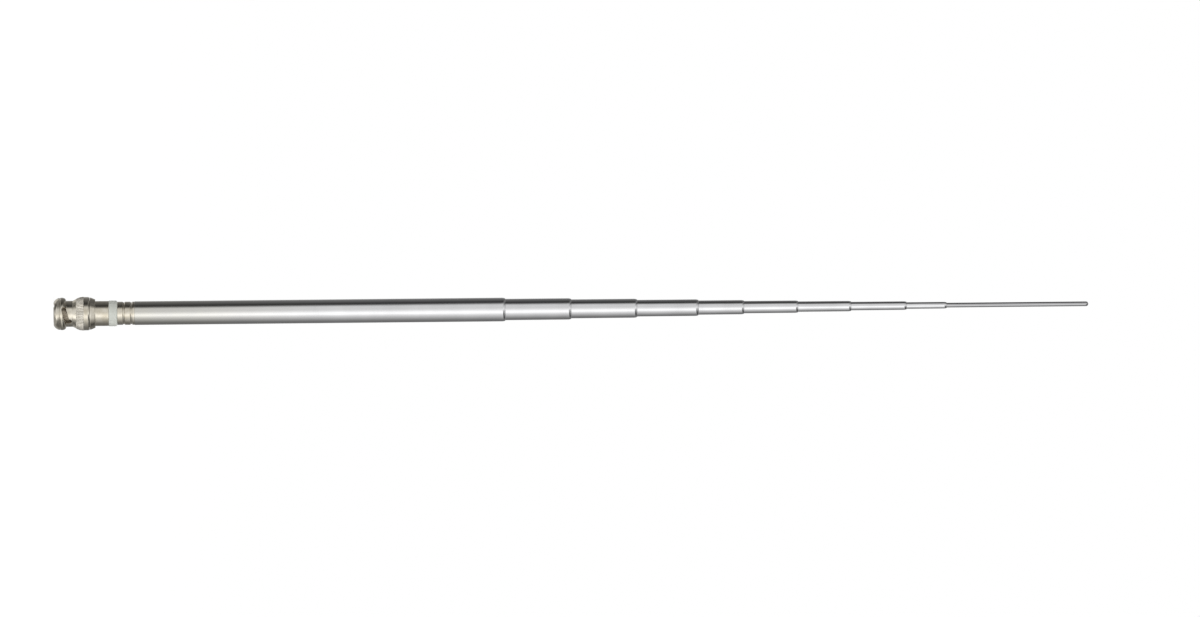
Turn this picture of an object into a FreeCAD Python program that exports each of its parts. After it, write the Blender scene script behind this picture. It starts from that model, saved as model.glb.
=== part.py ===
import FreeCAD, Part
import math
import os

# Telescopic rod antenna on a bayonet plug, in millimetres.
# +Z runs along the rod from the plug to the tip, and the origin is on the axis where
# the wall of the plug's slotted outer contact starts, just behind its bevelled edge.
# The telescope is drawn out part of the way, as it is shown.

# Telescope, worked out from the thin tip rod outwards to the base tube
tip_rod_diameter = 2.0
tube_wall = 0.22
slim_nest_gap = 0.18
wide_nest_gap = 0.28
slim_tube_count = 5
wide_tube_count = 4
base_tube_drawn = 156.4
tube_drawn = [27.8, 27.8, 25.9, 19.2, 22.8, 22.4, 23.4, 16.9]
tip_rod_drawn = 59.7
collapsed_step = 2.0
collapsed_tip = 8.0
base_gap = 0.3

# Mouth and inner end of each section
mouth_clearance = 0.04
mouth_roll_length = 1.5
mouth_roll_sides = 3
mouth_lip_length = 0.3
mouth_taper_length = 0.5
sliding_clearance = 0.04
seat_clearance = 0.01
flare_rise = 0.09
flare_length = 0.8
friction_sleeve_length = 6.0
friction_sleeve_play = 0.02
friction_sleeve_split = 50.0
stop_collar_length = 3.0
stack_gap = 0.05

# Coupling ring
ring_lead = 1.0
ring_bore_diameter = 9.8
ring_mouth_chamfer = 0.3
rim_length = 5.3
rim_face_diameter = 11.4
front_bead_diameter = 12.9
rear_bead_diameter = 13.5
rim_groove_depth = 0.25
rim_groove_place = 2.6
rim_edge_rise = 0.6
rim_foot_length = 0.5
waist_diameter = 11.0
waist_length = 2.7
flank_length = 1.4
grip_diameter = 14.3
grip_front_diameter = 12.7
grip_middle_diameter = 13.9
grip_middle_place = 1.6
grip_depth = 0.3
grip_teeth = 60
grip_length = 3.3
collar_diameter = 14.1
collar_length = 2.38
collar_chamfer = 0.2
cavity_diameter = 11.4
cavity_depth = 5.28

# Bayonet slots for the two lugs of the mating jack
slot_count = 2
slot_width = 2.1
lug_reach_diameter = 11.2
slot_entry_angle = 226.0
slot_turn_angle = 80.0
slot_open_angle = 30.0
slot_start = 3.6
slot_rise = 2.2
detent_depth = 0.9

# Plug core
contact_diameter = 8.05
contact_bore_diameter = 7.0
contact_free_length = 7.7
contact_edge = 0.25
contact_seat_rise = 0.25
contact_seat_depth = 0.9
contact_slot_width = 0.5
contact_slot_length = 6.0
contact_slot_count = 4
contact_slot_angle = 45.0
dielectric_setback = 0.6
dielectric_socket_diameter = 4.83
dielectric_socket_depth = 4.9
dielectric_stem_diameter = 5.1
pin_diameter = 1.35
pin_setback = 0.5
pin_shank_diameter = 1.9
pin_shank_length = 7.0
pin_tail_length = 4.5
gasket_thickness = 1.3
gasket_edge = 0.2
gasket_play = 0.06
body_collar_thickness = 1.2
body_collar_play = 0.25
body_neck_diameter = 7.8
body_neck_into_housing = 1.8

# Spring stack that draws the ring back along the plug
wave_height = 1.3
wave_thickness = 0.25
wave_count = 3
wave_points = 24
washer_thickness = 0.5
washer_play = 0.12
clip_thickness = 0.7
clip_groove_depth = 0.42
clip_width = 1.3
clip_opening = 40.0
part_gap = 0.05

# Rear housing, insulator and base adapter
ring_to_housing_gap = 0.12
housing_pilot_length = 0.9
housing_pilot_play = 0.2
housing_flange_diameter = 13.6
housing_flange_rim = 0.35
housing_flange_taper = 1.95
housing_shoulder_diameter = 12.0
housing_barrel_inset = 0.15
housing_barrel_length = 5.75
housing_cavity_diameter = 8.4
housing_edge = 0.25
insulator_lip = 0.42
insulator_length = 3.05
insulator_taper = 0.5
insulator_spigot_length = 3.0
stud_diameter = 3.6
stud_past_nut = 0.6
nut_across_flats = 6.2
nut_thickness = 2.0
adapter_length = 7.3
adapter_inset = 0.1
adapter_groove_width = 1.0
adapter_groove_depth = 0.3
adapter_groove_first = 2.75
adapter_groove_second = 5.9
adapter_spigot_length = 6.0

# Sides of a turned outline that come out shorter than this are left out
smallest_side = 0.0001

axis_up = FreeCAD.Vector(0, 0, 1)
centre = FreeCAD.Vector(0, 0, 0)


def turned(outline):
    """Turn a closed outline of (radius, height) points about the axis.

    An entry that is a pair of points makes an arc through the first to the second.
    """
    edges = []
    start = outline[0]
    for entry in outline[1:] + outline[:1]:
        bent = isinstance(entry[0], tuple)
        stops = [start, *entry] if bent else [start, entry]
        corners = [FreeCAD.Vector(radius, 0, height) for radius, height in stops]
        if bent:
            edges.append(Part.Arc(*corners).toShape())
        elif corners[0].distanceToPoint(corners[1]) > smallest_side:
            edges.append(Part.makeLine(*corners))
        start = stops[-1]
    return Part.Face(Part.Wire(edges)).revolve(centre, axis_up, 360)


def hollow(outer_radius, inner_radius, bottom, top):
    """Plain round tube between two heights."""
    return turned([(inner_radius, bottom), (outer_radius, bottom), (outer_radius, top), (inner_radius, top)])


def turn_to(shape, angle):
    """Copy of a shape turned about the axis by an angle in degrees."""
    copy = shape.copy()
    copy.rotate(centre, axis_up, angle)
    return copy


def sector(radius, bottom, top, angle, start_angle):
    """Pie-shaped cutter with its point on the axis."""
    pie = Part.makeCylinder(radius, top - bottom, FreeCAD.Vector(0, 0, bottom), axis_up, angle)
    return turn_to(pie, start_angle)


def save(name, shape):
    """Write one piece of the antenna."""
    shape.exportStep("parts/" + name + ".step")


os.makedirs("parts", exist_ok=True)

# Section radii, from the base tube in to the tip rod
radii = [tip_rod_diameter / 2]
for nest_gap in [slim_nest_gap] * slim_tube_count + [wide_nest_gap] * wide_tube_count:
    radii.insert(0, radii[0] + nest_gap + tube_wall)
base_radius = radii[0]

# Heights of the plug and base, stacked from the front of the coupling ring
ring_front = -ring_lead
rim_end = ring_front + rim_length
waist_end = rim_end + waist_length
flank_end = waist_end + flank_length
grip_end = flank_end + grip_length
ring_back = grip_end + collar_length
cavity_front = ring_back - cavity_depth
body_front = cavity_front + body_collar_play
body_collar_back = body_front + body_collar_thickness
wave_front = body_collar_back + part_gap
washer_front = wave_front + wave_height + part_gap
clip_front = washer_front + washer_thickness + part_gap
housing_front = ring_back + ring_to_housing_gap
barrel_front = housing_front + housing_flange_rim + housing_flange_taper
housing_back = barrel_front + housing_barrel_length
insulator_back = housing_back + insulator_length + insulator_taper
tube_start = insulator_back + adapter_length
neck_back = housing_front + body_neck_into_housing

# Radii that mating pieces of the plug share
ring_bore = ring_bore_diameter / 2
cavity_radius = cavity_diameter / 2
contact_radius = contact_diameter / 2
contact_seat_radius = contact_radius + contact_seat_rise
neck_radius = body_neck_diameter / 2
housing_cavity_radius = housing_cavity_diameter / 2
insulator_radius = base_radius + insulator_lip
adapter_radius = base_radius - adapter_inset
stud_radius = stud_diameter / 2
pin_radius = pin_diameter / 2
stem_radius = dielectric_stem_diameter / 2


def bayonet_cutter():
    """One lug path: entry groove and blind ramp inside the rim, then an open ramp up to a detent."""
    ramp_start = ring_front + slot_start
    ramp_end = ramp_start + slot_rise
    ramp_rate = slot_rise / slot_turn_angle
    inside = ring_bore - slot_width / 2
    outside = grip_diameter / 2
    lug_reach = lug_reach_diameter / 2
    half = slot_width / 2

    def ramp(start_angle, end_angle, reach):
        helix = Part.makeHelix(ramp_rate * 360, ramp_rate * (end_angle - start_angle), ring_bore)
        corners = [
            FreeCAD.Vector(inside, 0, -half),
            FreeCAD.Vector(reach, 0, -half),
            FreeCAD.Vector(reach, 0, half),
            FreeCAD.Vector(inside, 0, half),
        ]
        sweep = Part.BRepOffsetAPI.MakePipeShell(helix)
        sweep.setBiNormalMode(axis_up)
        sweep.add(Part.makePolygon(corners + corners[:1]))
        sweep.build()
        sweep.makeSolid()
        slot = sweep.shape()
        slot.translate(FreeCAD.Vector(0, 0, ramp_start + ramp_rate * start_angle))
        return turn_to(slot, start_angle)

    def radial_hole(height, angle, reach):
        start = FreeCAD.Vector(inside, 0, height)
        return turn_to(Part.makeCylinder(half, reach - inside, start, FreeCAD.Vector(1, 0, 0)), angle)

    notch_corner = FreeCAD.Vector(inside, -half, ramp_end)
    notch = Part.makeBox(outside - inside, slot_width, detent_depth, notch_corner)
    entry_corner = FreeCAD.Vector(inside, -half, ring_front - slot_width)
    entry = Part.makeBox(lug_reach - inside, slot_width, slot_start + slot_width, entry_corner)
    path = ramp(slot_open_angle, slot_turn_angle, outside).fuse(
        [
            entry,
            radial_hole(ramp_start, 0, lug_reach),
            ramp(0, slot_open_angle, lug_reach),
            radial_hole(ramp_start + ramp_rate * slot_open_angle, slot_open_angle, outside),
            radial_hole(ramp_end, slot_turn_angle, outside),
            turn_to(notch, slot_turn_angle),
            radial_hole(ramp_end + detent_depth, slot_turn_angle, outside),
        ]
    )
    return turn_to(path, slot_entry_angle)


def coupling_ring():
    """Turned nut with a double-bead rim, a slotted waist, a straight-knurled grip and a plain collar."""
    groove_radius = front_bead_diameter / 2 - rim_groove_depth
    groove_height = ring_front + rim_groove_place
    rear_bead_height = (groove_height + rim_end) / 2
    rim_edge_height = rim_end - rim_foot_length
    waist_radius = waist_diameter / 2
    collar_radius = collar_diameter / 2
    grip_rows = [
        (grip_front_diameter, flank_end),
        (grip_middle_diameter, flank_end + grip_middle_place),
        (grip_diameter, grip_end),
    ]
    grip_root_share = 1 - 2 * grip_depth / grip_diameter
    grip_seats = [(diameter / 2 * grip_root_share - part_gap, height) for diameter, height in grip_rows]
    groove_front = clip_front - part_gap
    groove_back = clip_front + clip_thickness + part_gap
    clip_seat = cavity_radius + clip_groove_depth
    outline = [
        (ring_bore, ring_front + ring_mouth_chamfer),
        (ring_bore + ring_mouth_chamfer, ring_front),
        (rim_face_diameter / 2, ring_front),
        ((front_bead_diameter / 2, (ring_front + groove_height) / 2), (groove_radius, groove_height)),
        ((rear_bead_diameter / 2, rear_bead_height), (waist_radius + rim_edge_rise, rim_edge_height)),
        (waist_radius, rim_end),
        (waist_radius, waist_end),
        *grip_seats,
        (collar_radius, grip_end),
        (collar_radius, ring_back - collar_chamfer),
        (collar_radius - collar_chamfer, ring_back),
        (cavity_radius, ring_back),
        (cavity_radius, groove_back),
        (clip_seat, groove_back),
        (clip_seat, groove_front),
        (cavity_radius, groove_front),
        (cavity_radius, cavity_front),
        (ring_bore, cavity_front),
    ]
    rows = []
    for diameter, height in grip_rows:
        row = []
        for step in range(2 * grip_teeth):
            reach = diameter / 2 if step % 2 == 0 else diameter / 2 * grip_root_share
            angle = math.pi * step / grip_teeth
            row.append(FreeCAD.Vector(reach * math.cos(angle), reach * math.sin(angle), height))
        rows.append(row)
    sides = [rows[0], rows[-1]]
    for low, high in zip(rows, rows[1:]):
        sides += [[low[k - 1], low[k], high[k], high[k - 1]] for k in range(2 * grip_teeth)]
    faces = [Part.Face(Part.makePolygon(side + side[:1])) for side in sides]
    crown = Part.makeSolid(Part.makeShell(faces))
    core_radius = (cavity_radius + grip_seats[0][0]) / 2
    core = Part.makeCylinder(core_radius, grip_length, FreeCAD.Vector(0, 0, flank_end))
    ring = turned(outline).fuse(crown.cut(core))
    cutter = bayonet_cutter()
    return ring.cut([turn_to(cutter, 360 * k / slot_count) for k in range(slot_count)]).removeSplitter()


def outer_contact():
    """Springy sleeve with slotted fingers and a thicker seat that is pressed into the plug body."""
    bore = contact_bore_diameter / 2
    back = body_front + contact_seat_depth
    sleeve = turned(
        [
            (bore, 0),
            (bore + contact_edge, -contact_edge),
            (contact_radius - contact_edge, -contact_edge),
            (contact_radius, 0),
            (contact_radius, contact_free_length),
            (contact_seat_radius, contact_free_length),
            (contact_seat_radius, back),
            (bore, back),
        ]
    )
    corner = FreeCAD.Vector(0, -contact_slot_width / 2, -contact_edge)
    slot = Part.makeBox(contact_diameter, contact_slot_width, contact_edge + contact_slot_length, corner)
    angles = [contact_slot_angle + 360 * k / contact_slot_count for k in range(contact_slot_count)]
    return sleeve.cut([turn_to(slot, angle) for angle in angles])


def dielectric():
    """Liner of the contact with a socket that takes the jack's nose, and a stem through the neck."""
    liner = contact_bore_diameter / 2 - seat_clearance
    socket_floor = dielectric_setback + dielectric_socket_depth
    liner_back = body_front + contact_seat_depth
    shank = pin_shank_diameter / 2 + seat_clearance
    stem = stem_radius - seat_clearance
    return turned(
        [
            (dielectric_socket_diameter / 2, dielectric_setback),
            (liner, dielectric_setback),
            (liner, liner_back),
            (stem, liner_back),
            (stem, neck_back),
            (shank, neck_back),
            (shank, socket_floor),
            (dielectric_socket_diameter / 2, socket_floor),
        ]
    )


def centre_pin():
    """Round-nosed pin with a thicker shank in the dielectric and a tail soldered into the base stud."""
    nose = pin_setback + pin_radius
    shank_front = dielectric_setback + dielectric_socket_depth
    shank_back = shank_front + pin_shank_length
    shank = pin_shank_diameter / 2
    tail_back = stud_front + pin_tail_length
    bend = pin_radius * math.sqrt(0.5)
    return turned(
        [
            (0, pin_setback),
            ((bend, nose - bend), (pin_radius, nose)),
            (pin_radius, shank_front),
            (shank, shank_front),
            (shank, shank_back),
            (pin_radius, shank_back),
            (pin_radius, tail_back),
            (0, tail_back),
        ]
    )


def gasket():
    """Soft flat ring that the end of the jack's shell presses on."""
    inner = contact_seat_radius + gasket_play
    outer = ring_bore - gasket_play
    front = body_front - gasket_thickness
    return turned(
        [
            (inner, front),
            (outer - gasket_edge, front),
            (outer, front + gasket_edge),
            (outer, body_front),
            (inner, body_front),
        ]
    )


def plug_body():
    """Turned core: a collar trapped inside the coupling ring and a neck that carries the rear housing."""
    seat = contact_seat_radius + seat_clearance
    seat_floor = body_front + contact_seat_depth
    return turned(
        [
            (seat, body_front),
            (cavity_radius - body_collar_play, body_front),
            (cavity_radius - body_collar_play, body_collar_back),
            (neck_radius, body_collar_back),
            (neck_radius, neck_back),
            (stem_radius, neck_back),
            (stem_radius, seat_floor),
            (seat, seat_floor),
        ]
    )


def wave_washer():
    """Thin spring washer that rises and falls around its circle."""
    inner = neck_radius + washer_play
    outer = cavity_radius - body_collar_play
    middle = wave_front + wave_height / 2
    swing = (wave_height - wave_thickness) / 2

    def wavy_edge(radius, lift):
        points = []
        for step in range(wave_points):
            angle = 2 * math.pi * step / wave_points
            height = middle + lift + swing * math.cos(wave_count * angle)
            points.append(FreeCAD.Vector(radius * math.cos(angle), radius * math.sin(angle), height))
        curve = Part.BSplineCurve()
        curve.interpolate(points, PeriodicFlag=True)
        return curve.toShape()

    half = wave_thickness / 2
    edges = [wavy_edge(inner, -half), wavy_edge(outer, -half), wavy_edge(outer, half), wavy_edge(inner, half)]
    sides = [Part.makeRuledSurface(edges[k], edges[(k + 1) % len(edges)]) for k in range(len(edges))]
    shell = Part.makeShell([face for side in sides for face in side.Faces])
    shell.sewShape()
    solid = Part.makeSolid(shell)
    if solid.Volume < 0:
        solid.reverse()
    return solid


def retaining_clip():
    """Open ring sprung into the groove inside the coupling ring."""
    outer = cavity_radius + clip_groove_depth - part_gap
    ring = hollow(outer, outer - clip_width, clip_front, clip_front + clip_thickness)
    mouth = sector(grip_diameter, clip_front, clip_front + clip_thickness, clip_opening, -clip_opening / 2)
    return ring.cut(mouth)


def rear_housing():
    """Flanged barrel fixed to the neck: a pilot in the coupling ring, a bevelled flange and a cylinder."""
    neck_bore = neck_radius + seat_clearance
    pilot = cavity_radius - housing_pilot_play
    pilot_front = housing_front - housing_pilot_length
    barrel = insulator_radius - housing_barrel_inset
    shoulder = barrel_front - housing_flange_taper
    return turned(
        [
            (neck_bore, pilot_front),
            (pilot, pilot_front),
            (pilot, housing_front),
            (housing_flange_diameter / 2 - housing_edge, housing_front),
            (housing_flange_diameter / 2, housing_front + housing_edge),
            (housing_flange_diameter / 2, shoulder),
            (housing_shoulder_diameter / 2, barrel_front),
            (barrel, barrel_front),
            (barrel, housing_back),
            (housing_cavity_radius, housing_back),
            (housing_cavity_radius, neck_back),
            (neck_bore, neck_back),
        ]
    )


# The base stud ends in front of its nut, inside the housing
nut_front = housing_back - insulator_spigot_length - nut_thickness
stud_front = nut_front - stud_past_nut


def insulator_bush():
    """Milky plastic bush: a collar with a bevelled back, and a spigot that fills the housing."""
    bore = stud_radius + seat_clearance
    spigot = housing_cavity_radius - seat_clearance
    spigot_front = housing_back - insulator_spigot_length
    return turned(
        [
            (bore, spigot_front),
            (spigot, spigot_front),
            (spigot, housing_back),
            (insulator_radius, housing_back),
            (insulator_radius, housing_back + insulator_length),
            (adapter_radius, insulator_back),
            (bore, insulator_back),
        ]
    )


def stud_nut():
    """Hexagon nut that clamps the stud to the insulator from inside the housing."""
    corner = nut_across_flats / 2 / math.cos(math.pi / 6)
    corners = []
    for step in range(6):
        angle = math.pi * step / 3
        corners.append(FreeCAD.Vector(corner * math.cos(angle), corner * math.sin(angle), nut_front))
    blank = Part.Face(Part.makePolygon(corners + corners[:1])).extrude(FreeCAD.Vector(0, 0, nut_thickness))
    hole = Part.makeCylinder(stud_radius + seat_clearance, nut_thickness, FreeCAD.Vector(0, 0, nut_front))
    return blank.cut(hole)


def base_adapter():
    """Turned stud, grooved head and spigot in one piece, which joins the base tube to the plug."""
    socket = pin_radius + seat_clearance
    socket_floor = stud_front + pin_tail_length + part_gap
    spigot = base_radius - tube_wall - seat_clearance
    spigot_back = tube_start + adapter_spigot_length
    groove_floor = adapter_radius - adapter_groove_depth
    outline = [
        (socket, stud_front),
        (stud_radius, stud_front),
        (stud_radius, insulator_back),
        (adapter_radius, insulator_back),
    ]
    for place in (adapter_groove_first, adapter_groove_second):
        height = insulator_back + place
        outline += [
            (adapter_radius, height - adapter_groove_width / 2),
            (groove_floor, height - adapter_groove_width / 4),
            (groove_floor, height + adapter_groove_width / 4),
            (adapter_radius, height + adapter_groove_width / 2),
        ]
    outline += [
        (adapter_radius, tube_start),
        (spigot, tube_start),
        (spigot, spigot_back),
        (0, spigot_back),
        (0, socket_floor),
        (socket, socket_floor),
    ]
    return turned(outline)


def section_ends():
    """Lower and upper end of every section, drawn out as shown and equal in reach when pushed home."""
    well_floor = tube_start + adapter_spigot_length + base_gap
    mouth = tube_start + base_tube_drawn
    ends = [(tube_start, mouth)]
    length = mouth - well_floor
    for drawn in tube_drawn:
        length += collapsed_step
        mouth += drawn
        ends.append((mouth - length, mouth))
    length += collapsed_tip
    mouth += tip_rod_drawn
    ends.append((mouth - length, mouth))
    return ends


def telescope_tube(number, bottom, mouth):
    """Drawn tube with its mouth rolled in around the next section; inner tubes have a flared lower end."""
    radius = radii[number]
    bore = radius - tube_wall
    lip = radii[number + 1] + mouth_clearance
    rolled = []
    for side in range(mouth_roll_sides + 1):
        angle = math.pi / 2 * side / mouth_roll_sides
        height = mouth - mouth_roll_length * (1 - math.sin(angle))
        rolled.append((lip + (radius - lip) * math.cos(angle), height))
    outline = [
        (bore, bottom),
        (radius, bottom),
        *rolled,
        (lip, mouth - mouth_lip_length),
        (bore, mouth - mouth_lip_length - mouth_taper_length),
    ]
    if number > 0:
        outline[1:2] = [
            (radius + flare_rise, bottom),
            (radius + flare_rise, bottom + flare_length),
            (radius, bottom + flare_length),
        ]
    return turned(outline)


def tip_rod(bottom, tip):
    """Solid rod with a round end and a headed lower end."""
    radius = radii[-1]
    bend = radius * math.sqrt(0.5)
    return turned(
        [
            (0, bottom),
            (radius + flare_rise, bottom),
            (radius + flare_rise, bottom + flare_length),
            (radius, bottom + flare_length),
            (radius, tip - radius),
            ((bend, tip - radius + bend), (0, tip)),
        ]
    )


def friction_sleeve(number, bottom):
    """Split bronze sleeve on the lower end of a section, which drags on the bore of the tube around it."""
    outer = radii[number - 1] - tube_wall - sliding_clearance
    inner = radii[number] + friction_sleeve_play
    low = bottom + flare_length + stack_gap
    high = low + friction_sleeve_length
    sleeve = hollow(outer, inner, low, high)
    return sleeve.cut(sector(2 * outer, low, high, friction_sleeve_split, -friction_sleeve_split / 2))


def stop_collar(number, bottom):
    """Brass collar above the friction sleeve that meets the rolled mouth at full reach."""
    outer = radii[number - 1] - tube_wall - sliding_clearance
    inner = radii[number] + seat_clearance
    low = bottom + flare_length + friction_sleeve_length + 2 * stack_gap
    return hollow(outer, inner, low, low + stop_collar_length)


save("coupling_ring", coupling_ring())
save("outer_contact", outer_contact())
save("dielectric", dielectric())
save("centre_pin", centre_pin())
save("gasket", gasket())
save("plug_body", plug_body())
save("wave_washer", wave_washer())
washer_hole = neck_radius + washer_play
washer_rim = cavity_radius - body_collar_play
save("thrust_washer", hollow(washer_rim, washer_hole, washer_front, washer_front + washer_thickness))
save("retaining_clip", retaining_clip())
save("rear_housing", rear_housing())
save("insulator_bush", insulator_bush())
save("stud_nut", stud_nut())
save("base_adapter", base_adapter())

ends = section_ends()
for number, (bottom, top) in enumerate(ends):
    label = str(number + 1)
    if number < len(ends) - 1:
        save("tube_" + label, telescope_tube(number, bottom, top))
    else:
        save("tip_rod", tip_rod(bottom, top))
    if number > 0:
        save("friction_sleeve_" + label, friction_sleeve(number, bottom))
        save("stop_collar_" + label, stop_collar(number, bottom))
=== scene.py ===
import math

import bmesh
import bpy
from mathutils import Matrix, Vector


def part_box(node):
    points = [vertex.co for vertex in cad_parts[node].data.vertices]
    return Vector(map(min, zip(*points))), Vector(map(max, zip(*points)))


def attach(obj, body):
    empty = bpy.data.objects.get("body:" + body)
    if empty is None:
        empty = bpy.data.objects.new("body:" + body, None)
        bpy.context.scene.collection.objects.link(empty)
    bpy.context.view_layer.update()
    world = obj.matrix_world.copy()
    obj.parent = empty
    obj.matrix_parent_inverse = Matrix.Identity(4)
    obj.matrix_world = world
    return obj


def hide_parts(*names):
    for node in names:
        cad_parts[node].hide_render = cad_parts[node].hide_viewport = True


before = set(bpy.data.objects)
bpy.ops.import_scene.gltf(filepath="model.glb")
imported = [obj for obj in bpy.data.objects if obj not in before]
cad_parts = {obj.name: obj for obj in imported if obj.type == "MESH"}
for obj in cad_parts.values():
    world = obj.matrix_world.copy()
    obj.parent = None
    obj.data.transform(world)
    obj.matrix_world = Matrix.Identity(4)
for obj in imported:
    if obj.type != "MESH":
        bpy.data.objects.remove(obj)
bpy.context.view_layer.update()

# Centre pin of the plug: a turned brass pin with a round nose, gold plated so that it stays clean.
# It is pressed into the dielectric, and its tail is soldered into the stud of the base adapter.
mm = 0.001
round_steps = 128


def eased(outline, ease):
    """The outline with an arc at each corner and a point beside each arc, so that long sides stay true.

    A corner is (radius, height), or (radius, height, size of its own arc), in millimetres.
    """
    arc_sides = 4
    slight_turn = math.radians(20)
    support = 0.15
    # An arc may take nearly all of a side that ends on the axis, and nearly half of any other side.
    whole_side = 0.98
    half_side = 0.49
    rounded = []
    for i, corner in enumerate(outline):
        here = Vector(corner[:2])
        back = Vector(outline[i - 1][:2]) - here
        ahead = Vector(outline[(i + 1) % len(outline)][:2]) - here
        turn = math.pi - back.angle(ahead)
        size = corner[2] if len(corner) > 2 else ease
        if here.x == 0 or turn < slight_turn or size == 0:
            rounded.append(here)
            continue
        room = [
            side.length * (whole_side if (here + side).x == 0 else half_side)
            for side in (back, ahead)
        ]
        half = (math.pi - turn) / 2
        reach = min(size / math.tan(half), *room)
        middle = here + (back.normalized() + ahead.normalized()).normalized() * reach / math.cos(half)
        first = here + back.normalized() * reach - middle
        sweep = first.angle_signed(here + ahead.normalized() * reach - middle)
        for k in range(arc_sides + 1):
            rounded.append(middle + Matrix.Rotation(-sweep * k / arc_sides, 2) @ first)
    supported = []
    for start, end in zip(rounded, rounded[1:] + rounded[:1]):
        supported.append(start)
        side = end - start
        if side.length > 4 * support:
            supported.append(start + side.normalized() * support)
            supported.append(end - side.normalized() * support)
    return supported


def smoothed(mesh):
    """Smooth shading with sharp edges only where faces meet at a clear angle."""
    clear_angle = math.radians(32)
    mesh.shade_smooth()
    mesh.set_sharp_from_angle(angle=clear_angle)


def made(name, work):
    """A new object in the scene with the mesh that was worked on."""
    mesh = bpy.data.meshes.new(name)
    work.to_mesh(mesh)
    work.free()
    piece = bpy.data.objects.new(name, mesh)
    bpy.context.collection.objects.link(piece)
    return piece


def turned(name, outline, finish, ease=0.06):
    """A piece turned about the axis from a closed outline in millimetres."""
    work = bmesh.new()
    rings = []
    for radius, height in eased(outline, ease):
        if radius == 0:
            rings.append([work.verts.new((0, 0, height * mm))] * round_steps)
            continue
        ring = []
        for step in range(round_steps):
            angle = 2 * math.pi * step / round_steps
            place = (radius * math.cos(angle), radius * math.sin(angle), height)
            ring.append(work.verts.new(Vector(place) * mm))
        rings.append(ring)
    for low, high in zip(rings, rings[1:] + rings[:1]):
        if low[0] == low[1] and high[0] == high[1]:
            continue
        for step in range(round_steps):
            corners = [low[step - 1], low[step], high[step], high[step - 1]]
            work.faces.new(list(dict.fromkeys(corners)))
    bmesh.ops.recalc_face_normals(work, faces=work.faces)
    piece = made(name, work)
    smoothed(piece.data)
    piece.data.materials.append(finish)
    return piece


def linear(code):
    """An sRGB hex colour as linear red, green, blue and alpha."""
    shares = [int(code[i:i + 2], 16) / 255 for i in (0, 2, 4)]
    return [s / 12.92 if s <= 0.04045 else ((s + 0.055) / 1.055) ** 2.4 for s in shares] + [1]


def add(tree, kind, settings, links):
    """Add a node with its settings and the outputs that feed it."""
    node = tree.nodes.new(kind)
    for name, value in settings.items():
        if isinstance(name, int) or name in node.inputs:
            node.inputs[name].default_value = value
        else:
            setattr(node, name, value)
    for name, source in links.items():
        tree.links.new(source, node.inputs[name])
    return node


def lathe_metal(name, bright, dull, marks, mark_depth, mottle, polish, tarnish):
    """A turned metal finish: fine rings about the axis, and dull patches in a brighter ground.

    marks, mark_depth and mottle are in millimetres; polish and tarnish are the two roughnesses.
    """
    # The noise under which the metal is bright, and that over which it is dull.
    bright_below = 0.35
    dull_above = 0.7
    finish = bpy.data.materials.new(name)
    finish.use_nodes = True
    tree = finish.node_tree
    surface = tree.nodes["Principled BSDF"]
    surface.inputs["Metallic"].default_value = 1
    place = add(tree, "ShaderNodeTexCoord", {}, {}).outputs["Object"]
    flat = add(tree, "ShaderNodeVectorMath", {"operation": "MULTIPLY", 1: (1, 1, 0)}, {0: place})
    radius = add(tree, "ShaderNodeVectorMath", {"operation": "LENGTH"}, {0: flat.outputs["Vector"]})
    parts = add(tree, "ShaderNodeSeparateXYZ", {}, {"Vector": place})
    section = add(tree, "ShaderNodeCombineXYZ", {}, {"X": radius.outputs["Value"], "Z": parts.outputs["Z"]})
    rings = add(
        tree,
        "ShaderNodeTexNoise",
        {"Scale": 1 / (marks * mm), "Detail": 2},
        {"Vector": section.outputs["Vector"]},
    )
    patches = add(tree, "ShaderNodeTexNoise", {"Scale": 1 / (mottle * mm), "Detail": 4}, {"Vector": place})
    share = add(
        tree,
        "ShaderNodeMapRange",
        {"From Min": bright_below, "From Max": dull_above},
        {"Value": patches.outputs["Fac"]},
    )
    colour = add(
        tree,
        "ShaderNodeMix",
        {"data_type": "RGBA", 6: linear(bright), 7: linear(dull)},
        {0: share.outputs["Result"]},
    )
    gloss = add(
        tree,
        "ShaderNodeMapRange",
        {"To Min": polish, "To Max": tarnish},
        {"Value": share.outputs["Result"]},
    )
    relief = add(
        tree,
        "ShaderNodeBump",
        {"Strength": 1, "Distance": mark_depth * mm},
        {"Height": rings.outputs["Fac"]},
    )
    tree.links.new(colour.outputs[2], surface.inputs["Base Color"])
    tree.links.new(gloss.outputs["Result"], surface.inputs["Roughness"])
    tree.links.new(relief.outputs["Normal"], surface.inputs["Normal"])
    return finish


def extent(node):
    """Radius about the axis, lowest and highest height of a CAD node, in millimetres."""
    low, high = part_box(node)
    return high[0] / mm, low[2] / mm, high[2] / mm


# Thin gold over nickel on brass: a deep yellow mirror that dulls a little where the jack rubs it.
gold_plate = lathe_metal(
    "gold_plate_on_turned_brass",
    bright="E6C069",
    dull="C99B45",
    marks=0.4,
    mark_depth=0.002,
    mottle=1.5,
    polish=0.16,
    tarnish=0.3,
)
pin_radius = 0.675
pin_shank_front = 5.5
pin_shank_back = 12.5
pin_shank_radius, pin_nose, pin_tail = extent("centre_pin")
centre_pin = turned(
    "centre_pin_gold",
    [
        (0, pin_nose),
        (pin_radius, pin_nose, pin_radius),
        (pin_radius, pin_shank_front),
        (pin_shank_radius, pin_shank_front),
        (pin_shank_radius, pin_shank_back),
        (pin_radius, pin_shank_back),
        (pin_radius, pin_tail),
        (0, pin_tail),
    ],
    gold_plate,
)
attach(centre_pin, "base")
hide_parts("centre_pin")

# Dielectric: a liner of white fluoropolymer turned from bar, slid into the outer contact.
# Its socket takes the nose of the mating jack, and its stem goes back through the plug body.
fluoropolymer = bpy.data.materials.new("turned_white_fluoropolymer")
fluoropolymer.use_nodes = True
tree = fluoropolymer.node_tree
surface = tree.nodes["Principled BSDF"]
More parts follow.
